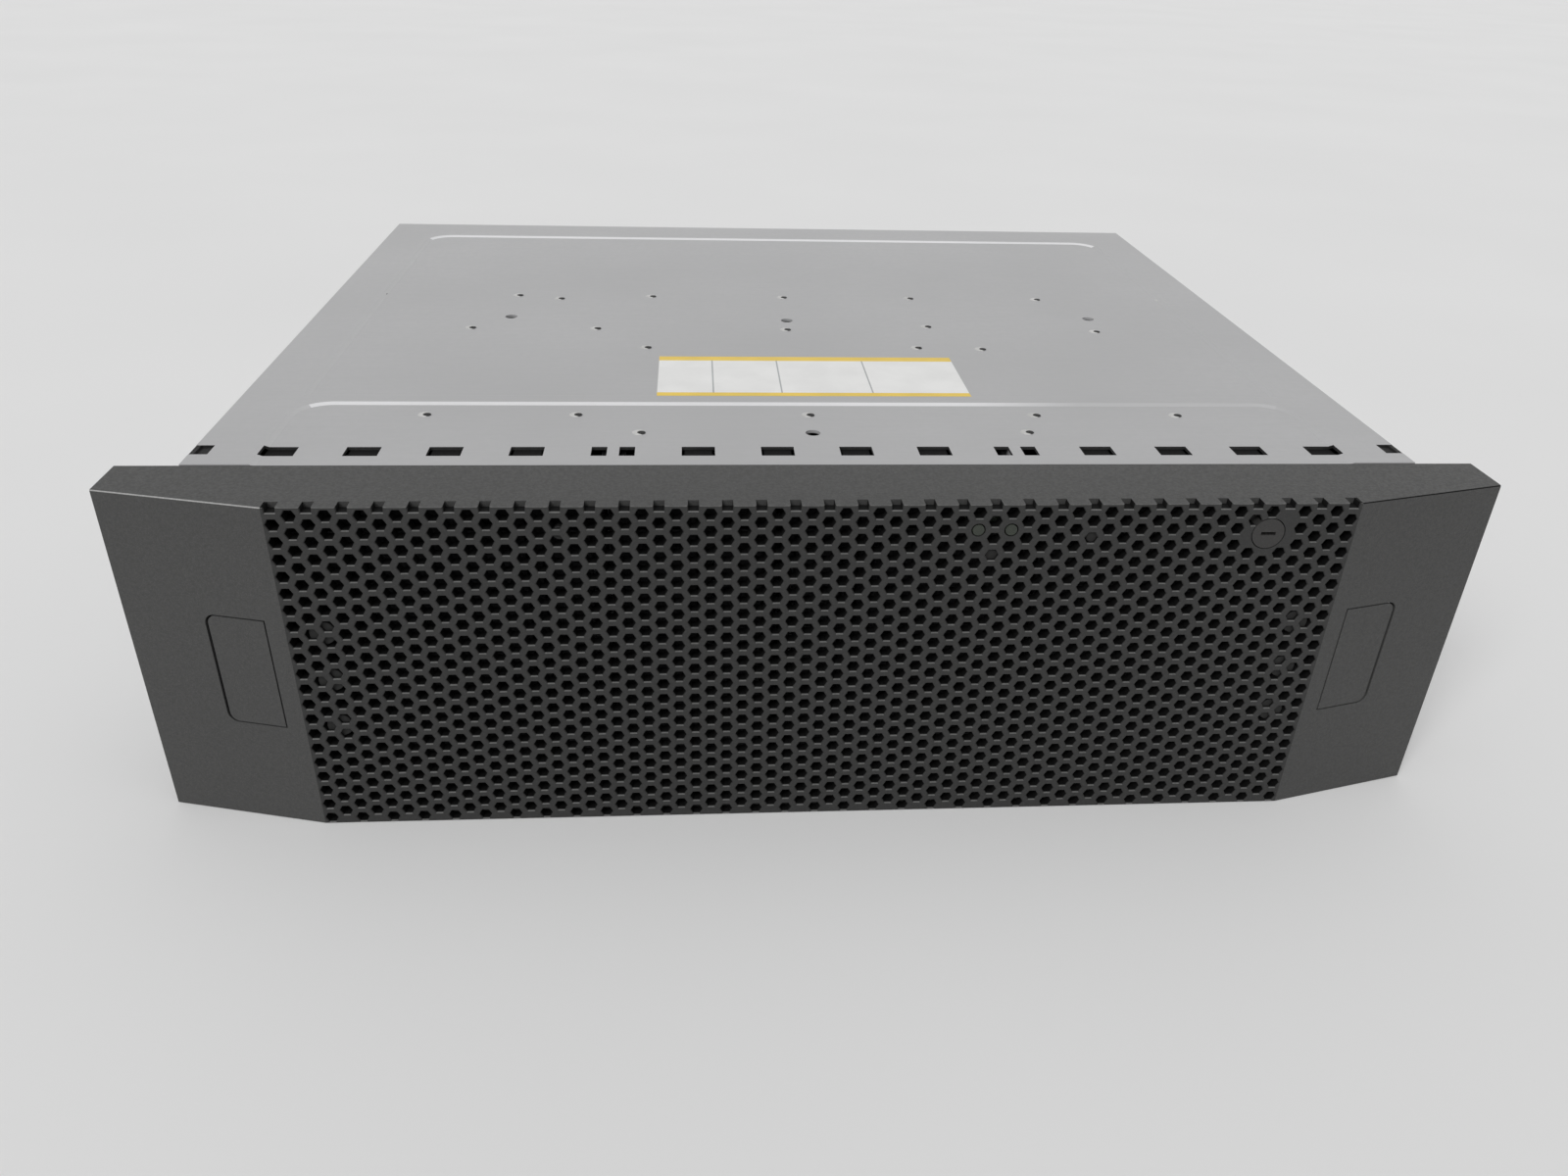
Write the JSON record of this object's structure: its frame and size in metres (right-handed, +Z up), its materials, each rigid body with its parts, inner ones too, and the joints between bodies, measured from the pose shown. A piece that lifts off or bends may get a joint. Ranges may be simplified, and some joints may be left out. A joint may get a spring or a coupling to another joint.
{
  "type": "disk shelf enclosure",
  "caption": "Rack-mounted disk shelf: sheet metal chassis with sliding upright disk modules, rear power, cooling and link modules, and a removable perforated bezel.",
  "frame": {"origin": "centre of the chassis's bottom face", "axes": "+X right seen from the front, +Y to the rear, +Z up"},
  "size_m": [0.4826, 0.3938, 0.131],
  "materials": {
    "galvanised_steel": "galvanised sheet, satin",
    "bezel_paint": "dark warm grey metallic paint, satin",
    "guide_plastic": "moulded, matt",
    "circuit_board": "green solder mask",
    "connector_plastic": "moulded, matt",
    "drive_metal": "cast, dull",
    "handle_plastic": "moulded, matt",
    "module_steel": "galvanised sheet, satin",
    "rotor_plastic": "moulded, matt",
    "lever_plastic": "moulded, matt",
    "switch_plastic": "moulded, glossy",
    "lock_metal": "dark satin",
    "light_pipe": "clear moulding"
  },
  "bodies": {
    "chassis": {"chassis_tub": "galvanised_steel", "top_cover": "galvanised_steel", "bay_partitions": "galvanised_steel", "guide_rails": "guide_plastic", "midplane_board": "circuit_board", "midplane_connectors": "connector_plastic", "module_shelf": "galvanised_steel", "rack_ears": "galvanised_steel"},
    "bezel": {"bezel_shell": "bezel_paint", "bezel_grille": "bezel_paint", "lock_housing": "lock_metal", "status_light_pipes": "light_pipe"},
    "left_latch_button": {"left_latch_button": "bezel_paint"},
    "right_latch_button": {"right_latch_button": "bezel_paint"},
    "lock_barrel": {"lock_barrel": "lock_metal"},
    "disk_module_01": {"disk_module_01": "drive_metal"},
    "carrier_handle_01": {"carrier_handle_01": "handle_plastic"},
    "disk_module_02": {"disk_module_02": "drive_metal"},
    "carrier_handle_02": {"carrier_handle_02": "handle_plastic"},
    "disk_module_03": {"disk_module_03": "drive_metal"},
    "carrier_handle_03": {"carrier_handle_03": "handle_plastic"},
    "disk_module_04": {"disk_module_04": "drive_metal"},
    "carrier_handle_04": {"carrier_handle_04": "handle_plastic"},
    "disk_module_05": {"disk_module_05": "drive_metal"},
    "carrier_handle_05": {"carrier_handle_05": "handle_plastic"},
    "disk_module_06": {"disk_module_06": "drive_metal"},
    "carrier_handle_06": {"carrier_handle_06": "handle_plastic"},
    "disk_module_07": {"disk_module_07": "drive_metal"},
    "carrier_handle_07": {"carrier_handle_07": "handle_plastic"},
    "disk_module_08": {"disk_module_08": "drive_metal"},
    "carrier_handle_08": {"carrier_handle_08": "handle_plastic"},
    "disk_module_09": {"disk_module_09": "drive_metal"},
    "carrier_handle_09": {"carrier_handle_09": "handle_plastic"},
    "disk_module_10": {"disk_module_10": "drive_metal"},
    "carrier_handle_10": {"carrier_handle_10": "handle_plastic"},
    "disk_module_11": {"disk_module_11": "drive_metal"},
    "carrier_handle_11": {"carrier_handle_11": "handle_plastic"},
    "disk_module_12": {"disk_module_12": "drive_metal"},
    "carrier_handle_12": {"carrier_handle_12": "handle_plastic"},
    "disk_module_13": {"disk_module_13": "drive_metal"},
    "carrier_handle_13": {"carrier_handle_13": "handle_plastic"},
    "disk_module_14": {"disk_module_14": "drive_metal"},
    "carrier_handle_14": {"carrier_handle_14": "handle_plastic"},
    "disk_module_15": {"disk_module_15": "drive_metal"},
    "carrier_handle_15": {"carrier_handle_15": "handle_plastic"},
    "power_module_upper": {"power_module_upper": "module_steel"},
    "power_switch_upper": {"power_switch_upper": "switch_plastic"},
    "power_lever_upper": {"power_lever_upper": "lever_plastic"},
    "link_card_upper": {"link_card_upper": "module_steel"},
    "card_lever_upper": {"card_lever_upper": "lever_plastic"},
    "blower_rotor_upper_right": {"blower_rotor_upper_right": "rotor_plastic"},
    "blower_rotor_upper_left": {"blower_rotor_upper_left": "rotor_plastic"},
    "power_module_lower": {"power_module_lower": "module_steel"},
    "power_switch_lower": {"power_switch_lower": "switch_plastic"},
    "power_lever_lower": {"power_lever_lower": "lever_plastic"},
    "link_card_lower": {"link_card_lower": "module_steel"},
    "card_lever_lower": {"card_lever_lower": "lever_plastic"},
    "blower_rotor_lower_right": {"blower_rotor_lower_right": "rotor_plastic"},
    "blower_rotor_lower_left": {"blower_rotor_lower_left": "rotor_plastic"}
  },
  "joints": [
    {"name": "bezel_slide", "type": "slide", "parent": "chassis", "child": "bezel", "axis": [0, -1, 0], "range_m": [0, 0.35]},
    {"name": "left_latch_press", "type": "hinge", "parent": "bezel", "child": "left_latch_button", "pos_m": [-0.19014, -0.20808, 0.0652], "axis": [0, 0, -1], "range_deg": [0, 5], "stiffness_Nm_per_rad": 0.3},
    {"name": "right_latch_press", "type": "hinge", "parent": "bezel", "child": "right_latch_button", "pos_m": [0.19014, -0.20808, 0.0652], "axis": [0, 0, 1], "range_deg": [0, 5], "stiffness_Nm_per_rad": 0.3},
    {"name": "lock_turn", "type": "hinge", "parent": "bezel", "child": "lock_barrel", "pos_m": [0.1523, -0.2113, 0.1192], "axis": [0, -1, 0], "range_deg": [0, 90]},
    {"name": "module_01_slide", "type": "slide", "parent": "chassis", "child": "disk_module_01", "axis": [0, -1, 0], "range_m": [0, 0.15]},
    {"name": "handle_01_swing", "type": "hinge", "parent": "disk_module_01", "child": "carrier_handle_01", "pos_m": [-0.2052, -0.1846, 0.0124], "axis": [1, 0, 0], "range_deg": [0, 45]},
    {"name": "module_02_slide", "type": "slide", "parent": "chassis", "child": "disk_module_02", "axis": [0, -1, 0], "range_m": [0, 0.15]},
    {"name": "handle_02_swing", "type": "hinge", "parent": "disk_module_02", "child": "carrier_handle_02", "pos_m": [-0.1764, -0.1846, 0.0124], "axis": [1, 0, 0], "range_deg": [0, 45]},
    {"name": "module_03_slide", "type": "slide", "parent": "chassis", "child": "disk_module_03", "axis": [0, -1, 0], "range_m": [0, 0.15]},
    {"name": "handle_03_swing", "type": "hinge", "parent": "disk_module_03", "child": "carrier_handle_03", "pos_m": [-0.1476, -0.1846, 0.0124], "axis": [1, 0, 0], "range_deg": [0, 45]},
    {"name": "module_04_slide", "type": "slide", "parent": "chassis", "child": "disk_module_04", "axis": [0, -1, 0], "range_m": [0, 0.15]},
    {"name": "handle_04_swing", "type": "hinge", "parent": "disk_module_04", "child": "carrier_handle_04", "pos_m": [-0.1188, -0.1846, 0.0124], "axis": [1, 0, 0], "range_deg": [0, 45]},
    {"name": "module_05_slide", "type": "slide", "parent": "chassis", "child": "disk_module_05", "axis": [0, -1, 0], "range_m": [0, 0.15]},
    {"name": "handle_05_swing", "type": "hinge", "parent": "disk_module_05", "child": "carrier_handle_05", "pos_m": [-0.09, -0.1846, 0.0124], "axis": [1, 0, 0], "range_deg": [0, 45]},
    {"name": "module_06_slide", "type": "slide", "parent": "chassis", "child": "disk_module_06", "axis": [0, -1, 0], "range_m": [0, 0.15]},
    {"name": "handle_06_swing", "type": "hinge", "parent": "disk_module_06", "child": "carrier_handle_06", "pos_m": [-0.0576, -0.1846, 0.0124], "axis": [1, 0, 0], "range_deg": [0, 45]},
    {"name": "module_07_slide", "type": "slide", "parent": "chassis", "child": "disk_module_07", "axis": [0, -1, 0], "range_m": [0, 0.15]},
    {"name": "handle_07_swing", "type": "hinge", "parent": "disk_module_07", "child": "carrier_handle_07", "pos_m": [-0.0288, -0.1846, 0.0124], "axis": [1, 0, 0], "range_deg": [0, 45]},
    {"name": "module_08_slide", "type": "slide", "parent": "chassis", "child": "disk_module_08", "axis": [0, -1, 0], "range_m": [0, 0.15]},
    {"name": "handle_08_swing", "type": "hinge", "parent": "disk_module_08", "child": "carrier_handle_08", "pos_m": [0, -0.1846, 0.0124], "axis": [1, 0, 0], "range_deg": [0, 45]},
    {"name": "module_09_slide", "type": "slide", "parent": "chassis", "child": "disk_module_09", "axis": [0, -1, 0], "range_m": [0, 0.15]},
    {"name": "handle_09_swing", "type": "hinge", "parent": "disk_module_09", "child": "carrier_handle_09", "pos_m": [0.0288, -0.1846, 0.0124], "axis": [1, 0, 0], "range_deg": [0, 45]},
    {"name": "module_10_slide", "type": "slide", "parent": "chassis", "child": "disk_module_10", "axis": [0, -1, 0], "range_m": [0, 0.15]},
    {"name": "handle_10_swing", "type": "hinge", "parent": "disk_module_10", "child": "carrier_handle_10", "pos_m": [0.0576, -0.1846, 0.0124], "axis": [1, 0, 0], "range_deg": [0, 45]},
    {"name": "module_11_slide", "type": "slide", "parent": "chassis", "child": "disk_module_11", "axis": [0, -1, 0], "range_m": [0, 0.15]},
    {"name": "handle_11_swing", "type": "hinge", "parent": "disk_module_11", "child": "carrier_handle_11", "pos_m": [0.09, -0.1846, 0.0124], "axis": [1, 0, 0], "range_deg": [0, 45]},
    {"name": "module_12_slide", "type": "slide", "parent": "chassis", "child": "disk_module_12", "axis": [0, -1, 0], "range_m": [0, 0.15]},
    {"name": "handle_12_swing", "type": "hinge", "parent": "disk_module_12", "child": "carrier_handle_12", "pos_m": [0.1188, -0.1846, 0.0124], "axis": [1, 0, 0], "range_deg": [0, 45]},
    {"name": "module_13_slide", "type": "slide", "parent": "chassis", "child": "disk_module_13", "axis": [0, -1, 0], "range_m": [0, 0.15]},
    {"name": "handle_13_swing", "type": "hinge", "parent": "disk_module_13", "child": "carrier_handle_13", "pos_m": [0.1476, -0.1846, 0.0124], "axis": [1, 0, 0], "range_deg": [0, 45]},
    {"name": "module_14_slide", "type": "slide", "parent": "chassis", "child": "disk_module_14", "axis": [0, -1, 0], "range_m": [0, 0.15]},
    {"name": "handle_14_swing", "type": "hinge", "parent": "disk_module_14", "child": "carrier_handle_14", "pos_m": [0.1764, -0.1846, 0.0124], "axis": [1, 0, 0], "range_deg": [0, 45]},
    {"name": "module_15_slide", "type": "slide", "parent": "chassis", "child": "disk_module_15", "axis": [0, -1, 0], "range_m": [0, 0.15]},
    {"name": "handle_15_swing", "type": "hinge", "parent": "disk_module_15", "child": "carrier_handle_15", "pos_m": [0.2052, -0.1846, 0.0124], "axis": [1, 0, 0], "range_deg": [0, 45]},
    {"name": "power_module_upper_slide", "type": "slide", "parent": "chassis", "child": "power_module_upper", "axis": [0, 1, 0], "range_m": [0, 0.18]},
    {"name": "power_switch_upper_rock", "type": "hinge", "parent": "power_module_upper", "child": "power_switch_upper", "pos_m": [0.075, 0.1738, 0.11123], "axis": [-1, 0, 0], "range_deg": [0, 16]},
    {"name": "power_lever_upper_swing", "type": "hinge", "parent": "power_module_upper", "child": "power_lever_upper", "pos_m": [0, 0.1803, 0.12122], "axis": [1, 0, 0], "range_deg": [0, 70]},
    {"name": "blower_rotor_upper_right_spin", "type": "hinge", "parent": "power_module_upper", "child": "blower_rotor_upper_right", "pos_m": [0.1732, 0.1736, 0.09732], "axis": [0, 1, 0], "continuous": true},
    {"name": "blower_rotor_upper_left_spin", "type": "hinge", "parent": "power_module_upper", "child": "blower_rotor_upper_left", "pos_m": [-0.1732, 0.1736, 0.09732], "axis": [0, 1, 0], "continuous": true},
    {"name": "link_card_upper_slide", "type": "slide", "parent": "chassis", "child": "link_card_upper", "axis": [0, 1, 0], "range_m": [0, 0.17]},
    {"name": "card_lever_upper_swing", "type": "hinge", "parent": "link_card_upper", "child": "card_lever_upper", "pos_m": [0, 0.1803, 0.08595], "axis": [1, 0, 0], "range_deg": [0, 70]},
    {"name": "power_module_lower_slide", "type": "slide", "parent": "chassis", "child": "power_module_lower", "axis": [0, 1, 0], "range_m": [0, 0.18]},
    {"name": "power_switch_lower_rock", "type": "hinge", "parent": "power_module_lower", "child": "power_switch_lower", "pos_m": [-0.075, 0.1738, 0.01887], "axis": [1, 0, 0], "range_deg": [0, 16]},
    {"name": "power_lever_lower_swing", "type": "hinge", "parent": "power_module_lower", "child": "power_lever_lower", "pos_m": [0, 0.1803, 0.00887], "axis": [-1, 0, 0], "range_deg": [0, 70]},
    {"name": "blower_rotor_lower_right_spin", "type": "hinge", "parent": "power_module_lower", "child": "blower_rotor_lower_right", "pos_m": [-0.1732, 0.1736, 0.03277], "axis": [0, 1, 0], "continuous": true},
    {"name": "blower_rotor_lower_left_spin", "type": "hinge", "parent": "power_module_lower", "child": "blower_rotor_lower_left", "pos_m": [0.1732, 0.1736, 0.03277], "axis": [0, 1, 0], "continuous": true},
    {"name": "link_card_lower_slide", "type": "slide", "parent": "chassis", "child": "link_card_lower", "axis": [0, 1, 0], "range_m": [0, 0.17]},
    {"name": "card_lever_lower_swing", "type": "hinge", "parent": "link_card_lower", "child": "card_lever_lower", "pos_m": [0, 0.1803, 0.04415], "axis": [-1, 0, 0], "range_deg": [0, 70]}
  ],
  "couplings": [
    {"joint": "module_01_slide", "follows": "bezel_slide", "ratio": 0.428},
    {"joint": "handle_01_swing", "follows": "bezel_slide", "rad_per_m": 2.24},
    {"joint": "module_02_slide", "follows": "bezel_slide", "ratio": 0.428},
    {"joint": "handle_02_swing", "follows": "bezel_slide", "rad_per_m": 2.24},
    {"joint": "module_03_slide", "follows": "bezel_slide", "ratio": 0.428},
    {"joint": "handle_03_swing", "follows": "bezel_slide", "rad_per_m": 2.24},
    {"joint": "module_04_slide", "follows": "bezel_slide", "ratio": 0.428},
    {"joint": "handle_04_swing", "follows": "bezel_slide", "rad_per_m": 2.24},
    {"joint": "module_05_slide", "follows": "bezel_slide", "ratio": 0.428},
    {"joint": "handle_05_swing", "follows": "bezel_slide", "rad_per_m": 2.24},
    {"joint": "module_06_slide", "follows": "bezel_slide", "ratio": 0.428},
    {"joint": "handle_06_swing", "follows": "bezel_slide", "rad_per_m": 2.24},
    {"joint": "module_07_slide", "follows": "bezel_slide", "ratio": 0.428},
    {"joint": "handle_07_swing", "follows": "bezel_slide", "rad_per_m": 2.24},
    {"joint": "module_08_slide", "follows": "bezel_slide", "ratio": 0.428},
    {"joint": "handle_08_swing", "follows": "bezel_slide", "rad_per_m": 2.24},
    {"joint": "module_09_slide", "follows": "bezel_slide", "ratio": 0.428},
    {"joint": "handle_09_swing", "follows": "bezel_slide", "rad_per_m": 2.24},
    {"joint": "module_10_slide", "follows": "bezel_slide", "ratio": 0.428},
    {"joint": "handle_10_swing", "follows": "bezel_slide", "rad_per_m": 2.24},
    {"joint": "module_11_slide", "follows": "bezel_slide", "ratio": 0.428},
    {"joint": "handle_11_swing", "follows": "bezel_slide", "rad_per_m": 2.24},
    {"joint": "module_12_slide", "follows": "bezel_slide", "ratio": 0.428},
    {"joint": "handle_12_swing", "follows": "bezel_slide", "rad_per_m": 2.24},
    {"joint": "module_13_slide", "follows": "bezel_slide", "ratio": 0.428},
    {"joint": "handle_13_swing", "follows": "bezel_slide", "rad_per_m": 2.24},
    {"joint": "module_14_slide", "follows": "bezel_slide", "ratio": 0.428},
    {"joint": "handle_14_swing", "follows": "bezel_slide", "rad_per_m": 2.24},
    {"joint": "module_15_slide", "follows": "bezel_slide", "ratio": 0.428},
    {"joint": "handle_15_swing", "follows": "bezel_slide", "rad_per_m": 2.24}
  ]
}
